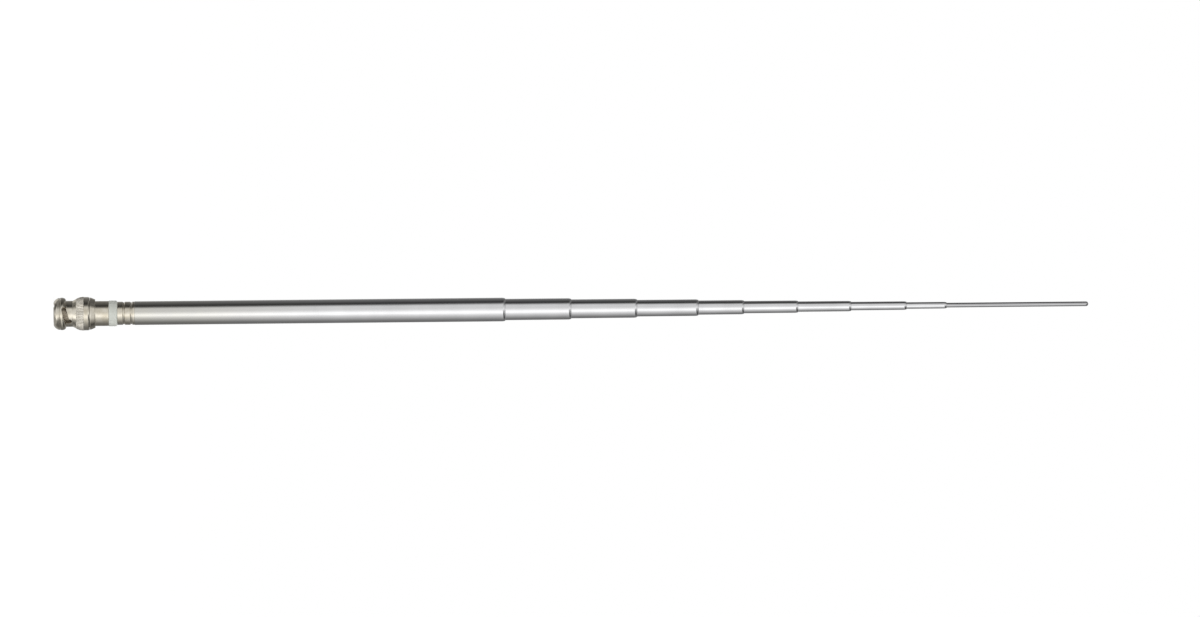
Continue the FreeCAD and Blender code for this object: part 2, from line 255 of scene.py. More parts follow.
# Waxy and bright: light goes a little way in, and faint tool rings show on the cut faces.
# The wave of the rings turns by 20 radians over each unit of its scaled distance.
light_reach = 0.4
cloud_size = 2.0
ring_radian = 0.4
ring_depth = 0.004
wave_rate = 20
surface.inputs["IOR"].default_value = 1.35
surface.inputs["Subsurface Weight"].default_value = 0.25
surface.inputs["Subsurface Radius"].default_value = (1, 1, 1)
surface.inputs["Subsurface Scale"].default_value = light_reach * mm
place = add(tree, "ShaderNodeTexCoord", {}, {}).outputs["Object"]
cloud = add(tree, "ShaderNodeTexNoise", {"Scale": 1 / (cloud_size * mm), "Detail": 3}, {"Vector": place})
colour = add(
    tree,
    "ShaderNodeMix",
    {"data_type": "RGBA", 6: linear("E4E4DF"), 7: linear("F1F1ED")},
    {0: cloud.outputs["Fac"]},
)
gloss = add(tree, "ShaderNodeMapRange", {"To Min": 0.36, "To Max": 0.52}, {"Value": cloud.outputs["Fac"]})
tool_rings = add(
    tree,
    "ShaderNodeTexWave",
    {
        "wave_type": "RINGS",
        "rings_direction": "Z",
        "Scale": 1 / (ring_radian * mm) / wave_rate,
        "Distortion": 0.4,
    },
    {"Vector": place},
)
relief = add(
    tree,
    "ShaderNodeBump",
    {"Strength": 1, "Distance": ring_depth * mm},
    {"Height": tool_rings.outputs["Fac"]},
)
tree.links.new(colour.outputs[2], surface.inputs["Base Color"])
tree.links.new(gloss.outputs["Result"], surface.inputs["Roughness"])
tree.links.new(relief.outputs["Normal"], surface.inputs["Normal"])

liner_radius, liner_front, stem_back = extent("dielectric")
socket_radius = 2.415
socket_floor = 5.5
liner_back = 9.95
stem_radius = 2.54
shank_hole = 0.96
socket_edge = 0.2
liner_edge = 0.15
dielectric = turned(
    "dielectric_white",
    [
        (socket_radius, liner_front, socket_edge),
        (liner_radius, liner_front, liner_edge),
        (liner_radius, liner_back),
        (stem_radius, liner_back),
        (stem_radius, stem_back),
        (shank_hole, stem_back),
        (shank_hole, socket_floor),
        (socket_radius, socket_floor, socket_edge),
    ],
    fluoropolymer,
)
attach(dielectric, "base")
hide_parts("dielectric")

# Outer contact: a brass sleeve turned thin and sawn into four springy fingers, silver plated.
# Its thicker seat is pressed into the plug body, and the fingers spring inside the jack's shell.
# The silver is painted a dark grey-brown, duller in patches: painted shade, standing in for the shade deep in
# the coupling ring where the contact shows through the lug slots.
shade_darkened_silver = lathe_metal(
    "shade_darkened_silver_on_turned_brass",
    bright="A89E8D",
    dull="877C6B",
    marks=0.5,
    mark_depth=0.003,
    mottle=1.2,
    polish=0.4,
    tarnish=0.5,
)
metal_share = 0.3
shade_darkened_silver.node_tree.nodes["Principled BSDF"].inputs["Metallic"].default_value = metal_share


def cut(piece, cutter, edge):
    """Cut one mesh out of a piece, bevel the edges that this leaves, and bake the result.

    edge is the width of the bevel in millimetres.
    """
    clear_angle = math.radians(40)
    speck = 0.002 * mm
    saw = piece.modifiers.new("saw", "BOOLEAN")
    saw.object = cutter
    saw.operation = "DIFFERENCE"
    saw.solver = "EXACT"
    saw.use_self = True
    deburr = piece.modifiers.new("deburr", "BEVEL")
    deburr.width = edge * mm
    deburr.segments = 2
    deburr.limit_method = "ANGLE"
    deburr.angle_limit = clear_angle
    bpy.context.view_layer.update()
    baked = bpy.data.meshes.new_from_object(piece.evaluated_get(bpy.context.evaluated_depsgraph_get()))
    piece.modifiers.clear()
    piece.data = baked
    work = bmesh.new()
    work.from_mesh(baked)
    bmesh.ops.triangulate(work, faces=work.faces)
    bmesh.ops.dissolve_degenerate(work, edges=work.edges, dist=speck)
    work.to_mesh(baked)
    work.free()
    smoothed(baked)
    bpy.data.objects.remove(cutter)


contact_seat_radius, contact_front, contact_back = extent("outer_contact")
contact_radius = 4.025
contact_bore = 3.5
contact_seat_front = 7.7
finger_slot_width = 0.5
finger_slot_end = 6.0
finger_slot_angles = (45, 135)
finger_slot_edge = 0.03
finger_bore_edge = 0.2
finger_nose_edge = 0.24
outer_contact = turned(
    "outer_contact_fingers",
    [
        (contact_bore, contact_front, finger_bore_edge),
        (contact_radius, contact_front, finger_nose_edge),
        (contact_radius, contact_seat_front),
        (contact_seat_radius, contact_seat_front),
        (contact_seat_radius, contact_back),
        (contact_bore, contact_back),
    ],
    shade_darkened_silver,
)
saw_start = contact_front - finger_slot_width
saw_length = 4 * contact_radius
work = bmesh.new()
for angle in finger_slot_angles:
    blade = bmesh.ops.create_cube(work, size=1)["verts"]
    size = Vector((saw_length, finger_slot_width, finger_slot_end - saw_start)) * mm
    middle = Vector((0, 0, finger_slot_end + saw_start)) * mm / 2
    turn = Matrix.Rotation(math.radians(angle), 4, "Z")
    setting = Matrix.Translation(middle) @ turn @ Matrix.Diagonal(size).to_4x4()
    bmesh.ops.transform(work, verts=blade, matrix=setting)
cut(outer_contact, made("finger_saw", work), finger_slot_edge)
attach(outer_contact, "base")
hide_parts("outer_contact")

# Gasket: a soft ring of red-brown silicone rubber, moulded, lying loose on the front of the plug body.
# The end of the jack's shell presses on it and keeps water out.


def moulded(name, ior, colours, cloud, glosses, grain, grain_depth):
    """A moulded plastic or rubber: clouds of two colours and two roughnesses under a fine grain.

    cloud, grain and grain_depth are in millimetres.
    """
    finish = bpy.data.materials.new(name)
    finish.use_nodes = True
    tree = finish.node_tree
    surface = tree.nodes["Principled BSDF"]
    surface.inputs["IOR"].default_value = ior
    place = add(tree, "ShaderNodeTexCoord", {}, {}).outputs["Object"]
    clouds = add(tree, "ShaderNodeTexNoise", {"Scale": 1 / (cloud * mm), "Detail": 4}, {"Vector": place})
    colour = add(
        tree,
        "ShaderNodeMix",
        {"data_type": "RGBA", 6: linear(colours[0]), 7: linear(colours[1])},
        {0: clouds.outputs["Fac"]},
    )
    gloss = add(
        tree,
        "ShaderNodeMapRange",
        {"To Min": glosses[0], "To Max": glosses[1]},
        {"Value": clouds.outputs["Fac"]},
    )
    skin = add(tree, "ShaderNodeTexNoise", {"Scale": 1 / (grain * mm), "Detail": 2}, {"Vector": place})
    relief = add(
        tree,
        "ShaderNodeBump",
        {"Strength": 1, "Distance": grain_depth * mm},
        {"Height": skin.outputs["Fac"]},
    )
    tree.links.new(colour.outputs[2], surface.inputs["Base Color"])
    tree.links.new(gloss.outputs["Result"], surface.inputs["Roughness"])
    tree.links.new(relief.outputs["Normal"], surface.inputs["Normal"])
    return finish


# Matt with a faint bloom and a fine moulded grain.
silicone = moulded(
    "moulded_silicone_rubber",
    ior=1.41,
    colours=("8C3326", "A34B3C"),
    cloud=1.2,
    glosses=(0.45, 0.7),
    grain=0.15,
    grain_depth=0.006,
)
gasket_radius, gasket_front, gasket_back = extent("gasket")
gasket_hole = 4.335
gasket_hole_edge = 0.15
gasket_rim_edge = 0.22
gasket = turned(
    "gasket_ring",
    [
        (gasket_hole, gasket_front, gasket_hole_edge),
        (gasket_radius, gasket_front, gasket_rim_edge),
        (gasket_radius, gasket_back),
        (gasket_hole, gasket_back),
    ],
    silicone,
)
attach(gasket, "base")
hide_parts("gasket")

# Plug body and thrust washer: nickel plated turned parts hidden in the coupling ring. The wave washer and the
# retaining clip beside them are stamped from spring steel, and draw the ring back along the plug.
# Bright nickel looks like chrome with a warm cream cast, and yellows in patches as it ages.
nickel_plate = lathe_metal(
    "bright_nickel_on_turned_brass",
    bright="CAC5B9",
    dull="B5AE9E",
    marks=0.7,
    mark_depth=0.003,
    mottle=3.0,
    polish=0.08,
    tarnish=0.16,
)
spring_steel = lathe_metal(
    "rolled_spring_steel",
    bright="9A9B9D",
    dull="77787C",
    marks=0.3,
    mark_depth=0.002,
    mottle=2.0,
    polish=0.28,
    tarnish=0.42,
)
for node, finish in (
    ("plug_body", nickel_plate),
    ("thrust_washer", nickel_plate),
    ("wave_washer", spring_steel),
    ("retaining_clip", spring_steel),
):
    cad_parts[node].material_slots[0].material = finish

# Coupling ring: a nut turned from brass bar and nickel plated, loose on the plug body behind its clip.
# It has a rim with two beads, a waist with two milled lug slots, a knurled grip and a plain collar.
grip_radius, ring_front, ring_back = extent("coupling_ring")
ring_bore = 4.9
rim_face_radius = 5.1
front_bead = (6.4, 0.3)
rim_groove_front = (6.75, 1.35)
rim_groove_floor = (6.59, 1.52)
rim_groove_back = (6.75, 1.7)
rear_bead = (6.86, 2.45)
rim_edge = (6.3, 3.95)
rim_end = 4.3
waist_radius = 5.5
waist_end = 7.0
grip_front = 8.4
grip_middle = 10.0
grip_back = 11.7
grip_front_radius = 6.35
grip_middle_radius = 6.95
knurl_depth = 0.14
grip_root_share = 1 - knurl_depth / grip_radius
collar_radius = 7.05
collar_edge = 13.5
collar_back_radius = 6.75
cavity_radius = 5.7
cavity_front = 8.8
clip_groove_radius = 6.12
clip_groove = (12.15, 12.95)
ring_mouth_edge = 0.3
waist_front_fillet = 0.1
waist_back_fillet = 0.5
grip_front_edge = 0.15
cavity_edge = 0.15


def bead(start, crest, end, sides=12):
    """Points on the arc from start over crest to end, without the first."""
    rows = [(r, z, r * r + z * z) for r, z in (start, crest, end)]
    (ar, az, aa), (br, bz, bb), (cr, cz, cc) = rows
    scale = 2 * (ar * (bz - cz) + br * (cz - az) + cr * (az - bz))
    middle = Vector(
        (
            (aa * (bz - cz) + bb * (cz - az) + cc * (az - bz)) / scale,
            (aa * (cr - br) + bb * (ar - cr) + cc * (br - ar)) / scale,
        )
    )
    first = Vector(start) - middle
    top = Vector(crest) - middle
    sweep = first.angle_signed(top) + top.angle_signed(Vector(end) - middle)
    return [tuple(middle + Matrix.Rotation(-sweep * k / sides, 2) @ first) for k in range(1, sides + 1)]


rim_start = (rim_face_radius, ring_front)
coupling_ring = turned(
    "coupling_ring_body",
    [
        (ring_bore, ring_front, ring_mouth_edge),
        rim_start,
        *bead(rim_start, front_bead, rim_groove_front),
        rim_groove_floor,
        rim_groove_back,
        *bead(rim_groove_back, rear_bead, rim_edge),
        (waist_radius, rim_end, waist_front_fillet),
        (waist_radius, waist_end, waist_back_fillet),
        (grip_front_radius * grip_root_share, grip_front, grip_front_edge),
        (grip_middle_radius * grip_root_share, grip_middle),
        (grip_radius * grip_root_share, grip_back),
        (collar_radius, grip_back),
        (collar_radius, collar_edge),
        (collar_back_radius, ring_back),
        (cavity_radius, ring_back, cavity_edge),
        (cavity_radius, clip_groove[1]),
        (clip_groove_radius, clip_groove[1]),
        (clip_groove_radius, clip_groove[0]),
        (cavity_radius, clip_groove[0]),
        (cavity_radius, cavity_front),
        (ring_bore, cavity_front),
    ],
    nickel_plate,
)

lug_slot_half = 1.05
lug_slot_places = (226, 46)
lug_ramp_turn = 80
lug_ramp_open = 30
lug_ramp_start = 2.6
lug_ramp_end = 4.8
lug_detent = 5.7
lug_reach = 5.6
lug_slot_edge = 0.06
slot_inside = 3.85


def closed_run(work, loops):
    """Add walls between four-cornered loops in a row, and a face at both ends."""
    for low, high in zip(loops, loops[1:]):
        for k in range(4):
            work.faces.new((low[k - 1], low[k], high[k], high[k - 1]))
    work.faces.new(loops[0])
    work.faces.new(loops[-1])


def lug_path(work, start, end, outside):
    """Add a round-ended cutter along a path that is laid flat at the waist.

    start and end are each an angle in degrees and a height in millimetres.
    """
    step_length = 0.4
    from_point = Vector((math.radians(start[0]) * waist_radius, start[1]))
    run = Vector((math.radians(end[0]) * waist_radius, end[1])) - from_point
    along = run.normalized()
    across = Vector((-along.y, along.x))
    end_turns = [math.radians(a) for a in (88, 70, 52, 35, 18)]
    end_points = [(lug_slot_half * math.sin(a), lug_slot_half * math.cos(a)) for a in end_turns]
    stations = [(-beyond, half) for beyond, half in end_points]
    steps = max(1, round(run.length / step_length))
    stations += [(run.length * k / steps, lug_slot_half) for k in range(steps + 1)]
    stations += [(run.length + beyond, half) for beyond, half in reversed(end_points)]
    loops = []
    for distance, half in stations:
        loop = []
        for side, radius in ((1, slot_inside), (1, outside), (-1, outside), (-1, slot_inside)):
            flat = from_point + along * distance + across * half * side
            angle = flat.x / waist_radius
            place = (radius * math.cos(angle), radius * math.sin(angle), flat.y)
            loop.append(work.verts.new(Vector(place) * mm))
        loops.append(loop)
    closed_run(work, loops)


work = bmesh.new()
for angle in lug_slot_places:
    ramp_rate = (lug_ramp_end - lug_ramp_start) / lug_ramp_turn
    ramp_open = (angle + lug_ramp_open, lug_ramp_start + ramp_rate * lug_ramp_open)
    ramp_top = (angle + lug_ramp_turn, lug_ramp_end)
    lug_path(work, (angle, ring_front - lug_slot_half), (angle, lug_ramp_start), lug_reach)
    lug_path(work, (angle, lug_ramp_start), ramp_open, lug_reach)
    lug_path(work, ramp_open, ramp_top, grip_radius)
    lug_path(work, ramp_top, (angle + lug_ramp_turn, lug_detent), grip_radius)
bmesh.ops.recalc_face_normals(work, faces=work.faces)
cut(coupling_ring, made("lug_mill", work), lug_slot_edge)
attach(coupling_ring, "coupling")
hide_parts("coupling_ring")

# Knurl of the coupling ring: straight ribs rolled into the crowned grip, each a ridge with sloped ends.
# They are as many as on the solid ring, with rolled-up roots, and stand a little way in the turned crown.
knurl_count = 60
knurl_land = 0.09
knurl_end = 0.25
knurl_sunk = 0.05
knurl_front_rise = 0.09
knurl_back_fall = 0.03
knurl_front_lift = 0.1
knurl_back_lift = 0.3
# The knurl is painted paler than the turned nickel, and scatters the light more: a painted sheen standing in
# for the light that its ribs catch.
nickel_with_painted_knurl_sheen = lathe_metal(
    "rolled_knurl_with_painted_sheen",
    bright="EBE6DB",
    dull="DAD4C7",
    marks=0.3,
    mark_depth=0.002,
    mottle=1.5,
    polish=0.28,
    tarnish=0.4,
)
rows = []
for height, tip, lift in (
    (grip_front, grip_front_radius, knurl_front_lift),
    (grip_front + knurl_end, grip_front_radius + knurl_front_rise, 1),
    (grip_middle, grip_middle_radius, 1),
    (grip_back - knurl_end, grip_radius - knurl_back_fall, 1),
    (grip_back, grip_radius, knurl_back_lift),
):
    root = tip * grip_root_share
    rows.append((height, root - knurl_sunk, root + (tip - root) * lift, math.pi * root / knurl_count))
work = bmesh.new()
loops = []
knurl_radius = grip_middle_radius * grip_root_share
for height, foot, crest, half in rows:
    corners = [(foot, -half), (foot, half), (crest, knurl_land), (crest, -knurl_land)]
    places = [Vector((reach - knurl_radius, across, height)) * mm for reach, across in corners]
    loops.append([work.verts.new(place) for place in places])
closed_run(work, loops)
bmesh.ops.recalc_face_normals(work, faces=work.faces)
knurl_rib = made("knurl_rib", work)

tree = bpy.data.node_groups.new("knurl_round_grip", "GeometryNodeTree")
sockets = {}
for label, kind in (
    ("Rib", "NodeSocketObject"),
    ("Rib Count", "NodeSocketInt"),
    ("Root Radius", "NodeSocketFloat"),
    ("Finish", "NodeSocketMaterial"),
):
    sockets[label] = tree.interface.new_socket(label, in_out="INPUT", socket_type=kind).identifier
tree.interface.new_socket("Knurl", in_out="OUTPUT", socket_type="NodeSocketGeometry")
given = add(tree, "NodeGroupInput", {}, {})
root = add(
    tree,
    "GeometryNodeMeshCircle",
    {},
    {"Vertices": given.outputs["Rib Count"], "Radius": given.outputs["Root Radius"]},
)
spot = add(tree, "GeometryNodeInputPosition", {}, {})
outward = add(
    tree,
    "FunctionNodeAlignRotationToVector",
    {"axis": "X", "pivot_axis": "Z"},
    {"Vector": spot.outputs["Position"]},
)
rib = add(tree, "GeometryNodeObjectInfo", {}, {"Object": given.outputs["Rib"]})
ribs = add(
    tree,
    "GeometryNodeInstanceOnPoints",
    {},
    {
        "Points": root.outputs["Mesh"],
        "Instance": rib.outputs["Geometry"],
        "Rotation": outward.outputs["Rotation"],
    },
)
real = add(tree, "GeometryNodeRealizeInstances", {}, {"Geometry": ribs.outputs["Instances"]})
plated = add(
    tree,
    "GeometryNodeSetMaterial",
    {},
    {"Geometry": real.outputs["Geometry"], "Material": given.outputs["Finish"]},
)
add(tree, "NodeGroupOutput", {}, {"Knurl": plated.outputs["Geometry"]})

grip_knurl = made("grip_knurl", bmesh.new())
roller = grip_knurl.modifiers.new("roller", "NODES")
roller.node_group = tree
for label, value in (
    ("Rib", knurl_rib),
    ("Rib Count", knurl_count),
    ("Root Radius", knurl_radius * mm),
    ("Finish", nickel_with_painted_knurl_sheen),
):
    roller[sockets[label]] = value
bpy.context.view_layer.update()
rolled = bpy.data.meshes.new_from_object(grip_knurl.evaluated_get(bpy.context.evaluated_depsgraph_get()))
grip_knurl.modifiers.clear()
grip_knurl.data = rolled
bpy.data.objects.remove(knurl_rib)
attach(grip_knurl, "coupling")
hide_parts("coupling_ring")

# Rear housing: a flanged barrel turned from brass and nickel plated, screwed onto the neck of the plug body.
# Its pilot runs in the coupling ring, its flange has a broad bevel, and its barrel carries the insulator.
flange_radius, housing_front, housing_back = extent("rear_housing")
neck_bore = 3.91
pilot_play = 0.2
pilot_radius = cavity_radius - pilot_play
flange_front = 14.2
flange_rim_back = 14.55
barrel_front = 16.5
shoulder_radius = 6.0
barrel_radius = 5.27
housing_bore = 4.2
neck_back = stem_back
housing_edge = 0.1
flange_front_edge = 0.25
flange_bevel_edge = 0.15
rear_housing = turned(
    "rear_housing_barrel",
    [
        (neck_bore, housing_front),
        (pilot_radius, housing_front, housing_edge),
        (pilot_radius, flange_front),
        (flange_radius, flange_front, flange_front_edge),
        (flange_radius, flange_rim_back, flange_bevel_edge),
        (shoulder_radius, barrel_front, flange_bevel_edge),
        (barrel_radius, barrel_front, housing_edge),
        (barrel_radius, housing_back, housing_edge),
        (housing_bore, housing_back),
        (housing_bore, neck_back),
        (neck_bore, neck_back),
    ],
    nickel_plate,
)
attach(rear_housing, "base")
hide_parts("rear_housing")

# Insulator: a bush of milky white plastic, moulded, whose spigot fills the housing.
# It keeps the rod apart from the shell of the plug, and its back edge is bevelled down to the adapter.
# Light goes into it, so edges look soft; faint clouds of flow and a fine moulded skin show close up.
milky_plastic = moulded(
    "moulded_milky_polypropylene",
    ior=1.49,
    colours=("CDD0C8", "DDDFD8"),
    cloud=3.0,
    glosses=(0.28, 0.42),
    grain=0.3,
    grain_depth=0.004,
)
light_reach = 0.6
surface = milky_plastic.node_tree.nodes["Principled BSDF"]
surface.inputs["Subsurface Weight"].default_value = 0.2
surface.inputs["Subsurface Radius"].default_value = (1, 1, 1)
surface.inputs["Subsurface Scale"].default_value = light_reach * mm
insulator_radius, spigot_front, insulator_back = extent("insulator_bush")
stud_hole = 1.81
insulator_spigot = 4.19
insulator_shoulder = 25.3
adapter_radius = 4.9
insulator_front_edge = 0.15
insulator_shoulder_edge = 0.4
insulator_back_edge = 0.1
insulator_bush = turned(
    "insulator_milky",
    [
        (stud_hole, spigot_front),
        (insulator_spigot, spigot_front),
        (insulator_spigot, housing_back),
        (insulator_radius, housing_back, insulator_front_edge),
        (insulator_radius, insulator_shoulder, insulator_shoulder_edge),
        (adapter_radius, insulator_back, insulator_back_edge),
        (stud_hole, insulator_back),
    ],
    milky_plastic,
)
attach(insulator_bush, "base")
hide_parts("insulator_bush")

# Base adapter: stud, grooved head and spigot turned in one piece from brass and nickel plated.
# The stud goes through the insulator to a plain brass nut in the housing. The spigot fits in the base tube.
plain_brass = lathe_metal(
    "plain_turned_brass",
    bright="CBAA63",
    dull="A88845",
    marks=0.5,
    mark_depth=0.004,
    mottle=2.0,
    polish=0.22,
    tarnish=0.38,
)
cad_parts["stud_nut"].material_slots[0].material = plain_brass
_, stud_front, spigot_back = extent("base_adapter")
_, tube_start, _ = extent("tube_1")
stud_radius = 1.8
solder_socket = 0.685
solder_socket_floor = 21.2
adapter_spigot = 4.77
groove_places = (28.55, 31.7)
groove_half = 0.5
groove_depth = 0.3
groove_sides = 8
stud_edge = 0.2
head_front_edge = 0.12
head_back_edge = 0.1
spigot_edge = 0.3
adapter_ease = 0.05
outline = [
    (solder_socket, stud_front),
    (stud_radius, stud_front, stud_edge),
    (stud_radius, insulator_back),
    (adapter_radius, insulator_back, head_front_edge),
]
for height in groove_places:
    groove_start = (adapter_radius, height - groove_half)
    groove_floor = (adapter_radius - groove_depth, height)
    groove_end = (adapter_radius, height + groove_half)
    outline += [groove_start, *bead(groove_start, groove_floor, groove_end, groove_sides)]
outline += [
    (adapter_radius, tube_start, head_back_edge),
    (adapter_spigot, tube_start),
    (adapter_spigot, spigot_back, spigot_edge),
    (0, spigot_back),
    (0, solder_socket_floor),
    (solder_socket, solder_socket_floor),
]
base_adapter = turned("base_adapter_head", outline, nickel_plate, adapter_ease)
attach(base_adapter, "base")
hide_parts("base_adapter")

# Telescope: nine tubes drawn from brass, chrome plated and polished, each with its mouth rolled in round the
# next section. A flared foot keeps the friction sleeve and the stop collar on each tube that slides.
# Chrome is a neutral mirror, with faint lines along the tube from the drawing die and the haze of handling.


def chrome(name, foot, clean, hazed):
    """Chrome plate whose colour starts from that of the foot and turns to clean and hazed chrome upwards.

    The heights and the sizes of the lines and the haze are in millimetres.
    """
    foot_end = 33
    foot_fade = 110
    line_width = 0.35
    line_length = 60
    line_depth = 0.0008
    haze_size = 9
    # The noise under which the chrome is clean, and that over which it is hazed as much as it gets.
    clean_below = 0.3
    hazed_above = 0.7
    most_haze = 0.4
    polish = 0.07
    hazed_polish = 0.14
    finish = bpy.data.materials.new(name)
    finish.use_nodes = True
    tree = finish.node_tree
    surface = tree.nodes["Principled BSDF"]
    surface.inputs["Metallic"].default_value = 1
    place = add(tree, "ShaderNodeTexCoord", {}, {}).outputs["Object"]
    parts = add(tree, "ShaderNodeSeparateXYZ", {}, {"Vector": place})
    # The drawing lines are far finer than this on a real tube, and are widened to show at all.
    stretch = add(
        tree,
        "ShaderNodeMapping",
        {"Scale": (1 / (line_width * mm), 1 / (line_width * mm), 1 / (line_length * mm))},
        {"Vector": place},
    )
    lines = add(tree, "ShaderNodeTexNoise", {"Scale": 1, "Detail": 2}, {"Vector": stretch.outputs["Vector"]})
    haze = add(tree, "ShaderNodeTexNoise", {"Scale": 1 / (haze_size * mm), "Detail": 5}, {"Vector": place})
    upward = add(
        tree,
        "ShaderNodeMapRange",
        {"From Min": foot_end * mm, "From Max": foot_fade * mm},
        {"Value": parts.outputs["Z"]},
    )
    bare = add(
        tree,
        "ShaderNodeMix",
        {"data_type": "RGBA", 6: linear(foot), 7: linear(clean)},
        {0: upward.outputs["Result"]},
    )
    handled = add(
        tree,
        "ShaderNodeMapRange",
        {"From Min": clean_below, "From Max": hazed_above, "To Max": most_haze},
        {"Value": haze.outputs["Fac"]},
    )
    colour = add(
        tree,
        "ShaderNodeMix",
        {"data_type": "RGBA", 7: linear(hazed)},
        {0: handled.outputs["Result"], 6: bare.outputs[2]},
    )
    gloss = add(
        tree,
        "ShaderNodeMapRange",
        {"From Min": clean_below, "From Max": hazed_above, "To Min": polish, "To Max": hazed_polish},
        {"Value": haze.outputs["Fac"]},
    )
    relief = add(
        tree,
        "ShaderNodeBump",
        {"Strength": 1, "Distance": line_depth * mm},
        {"Height": lines.outputs["Fac"]},
    )
    tree.links.new(colour.outputs[2], surface.inputs["Base Color"])
    tree.links.new(gloss.outputs["Result"], surface.inputs["Roughness"])
    tree.links.new(relief.outputs["Normal"], surface.inputs["Normal"])
    return finish


chrome_plate = chrome("bright_chrome_on_drawn_brass", "CBCBCC", "CBCBCC", "B8B8B9")
# On the base tube the chrome is thin near the plug, and the warm nickel under it shows through.
base_tube_chrome = chrome("thin_chrome_over_nickel_on_drawn_brass", "C0BEB5", "CBCBCC", "B8B8B9")
tube_radii = (5.0, 4.5, 4.0, 3.5, 3.0, 2.6, 2.2, 1.8, 1.4)
tip_radius = 1.0
tube_wall = 0.22
mouth_clearance = 0.04
mouth_lip = 0.3
mouth_taper = 0.5
mouth_roll = 1.5
mouth_roll_sides = 10
flare_rise = 0.09
flare_length = 0.8
for number, radius in enumerate(tube_radii, 1):
    _, bottom, mouth = extent(f"tube_{number}")
    bore = radius - tube_wall
    lip = (*tube_radii, tip_radius)[number] + mouth_clearance
    rolled = []
    for side in range(mouth_roll_sides + 1):
        angle = math.pi / 2 * side / mouth_roll_sides
        rolled.append((lip + (radius - lip) * math.cos(angle), mouth - mouth_roll * (1 - math.sin(angle))))
    foot = [(radius, bottom)]
    if number > 1:
        flare = radius + flare_rise
        foot = [(flare, bottom), (flare, bottom + flare_length), (radius, bottom + flare_length)]
    tube = turned(
        f"tube_{number}_chrome",
        [
            (bore, bottom),
            *foot,
            *rolled,
            (lip, mouth - mouth_lip),
            (bore, mouth - mouth_lip - mouth_taper),
        ],
        base_tube_chrome if number == 1 else chrome_plate,
    )
    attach(tube, "base" if number == 1 else f"section_{number}")
    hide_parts(f"tube_{number}")

# Tip rod: a solid brass rod with a round end and a headed foot.
# Its chrome is painted greyer than that of the tubes: painted shade, standing in for the narrow, dim
# highlight of the thin rod.
shade_darkened_rod_chrome = chrome("shade_darkened_chrome_on_brass_rod", "A2A2A3", "A2A2A3", "939395")
_, rod_foot, rod_tip = extent("tip_rod")
tip_rod = turned(
    "tip_rod_chrome",
    [
        (0, rod_foot),
        (tip_radius + flare_rise, rod_foot),
        (tip_radius + flare_rise, rod_foot + flare_length),
        (tip_radius, rod_foot + flare_length),
        (tip_radius, rod_tip, tip_radius),
        (0, rod_tip),
    ],
    shade_darkened_rod_chrome,
)
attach(tip_rod, "section_10")
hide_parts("tip_rod")

# Friction sleeves and stop collars on the foot of each sliding section, hidden in the tube around it.
# The sleeves are split rings of rolled bronze strip, and the collars are plain turned brass.
spring_bronze = lathe_metal(
    "rolled_bronze_strip",
    bright="B88A58",
    dull="94683C",
    marks=0.4,
    mark_depth=0.003,
    mottle=2.5,
    polish=0.26,
    tarnish=0.4,
)
for number in range(2, len(tube_radii) + 2):
    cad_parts[f"friction_sleeve_{number}"].material_slots[0].material = spring_bronze
    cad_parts[f"stop_collar_{number}"].material_slots[0].material = plain_brass

# Stage: a pale floor under the plug, a white surround, and a drum of graded paper that only reflections show,
# with a bright strip beside the camera and a dark opening above it, as in a large product studio.
world = bpy.data.worlds.new("white_surround")
bpy.context.scene.world = world
world.use_nodes = True
tree = world.node_tree
fill_level = 0.5
ray = add(tree, "ShaderNodeLightPath", {}, {})
seen = add(
    tree,
    "ShaderNodeMath",
    {"operation": "ADD"},
    {0: ray.outputs["Is Camera Ray"], 1: ray.outputs["Is Glossy Ray"]},
)
shown = add(
    tree,
    "ShaderNodeMath",
    {"operation": "ADD", "use_clamp": True},
    {0: seen.outputs["Value"], 1: ray.outputs["Is Transmission Ray"]},
)
level = add(
    tree,
    "ShaderNodeMapRange",
    {"To Min": fill_level, "To Max": 1},
    {"Value": shown.outputs["Value"]},
)
surround = tree.nodes["Background"]
surround.inputs["Color"].default_value = linear("FFFFFF")
tree.links.new(level.outputs["Result"], surround.inputs["Strength"])

floor_half = 4.0
floor_gap = 0.2
floor_level = (ring_front - floor_gap) * mm
work = bmesh.new()
corners = []
for x, y in ((-1, -1), (1, -1), (1, 1), (-1, 1)):
    corners.append(work.verts.new((x * floor_half, y * floor_half, floor_level)))
work.faces.new(corners)
floor = made("floor", work)
floor.visible_glossy = False
# The paper is white to the camera except for a share of the shadow that falls on it.
floor_paper = bpy.data.materials.new("pale_floor_paper")
floor_paper.use_nodes = True
tree = floor_paper.node_tree
shadow_share = 0.2
floor_colour = linear("F6F6F5")
unshaded = floor_colour[0] * fill_level
matt = tree.nodes["Principled BSDF"]
matt.inputs["Base Color"].default_value = floor_colour
matt.inputs["Roughness"].default_value = 0.9
matt.inputs["Specular IOR Level"].default_value = 0
white = add(
    tree,
    "ShaderNodeEmission",
    {"Color": linear("FFFFFF"), "Strength": (1 - shadow_share * unshaded) / (1 - shadow_share)},
    {},
)
ray = add(tree, "ShaderNodeLightPath", {}, {})
share = add(tree, "ShaderNodeMapRange", {"To Max": 1 - shadow_share}, {"Value": ray.outputs["Is Camera Ray"]})
blend = add(
    tree,
    "ShaderNodeMixShader",
    {},
    {0: share.outputs["Result"], 1: matt.outputs["BSDF"], 2: white.outputs["Emission"]},
)
tree.links.new(blend.outputs["Shader"], tree.nodes["Material Output"].inputs["Surface"])
floor.data.materials.append(floor_paper)

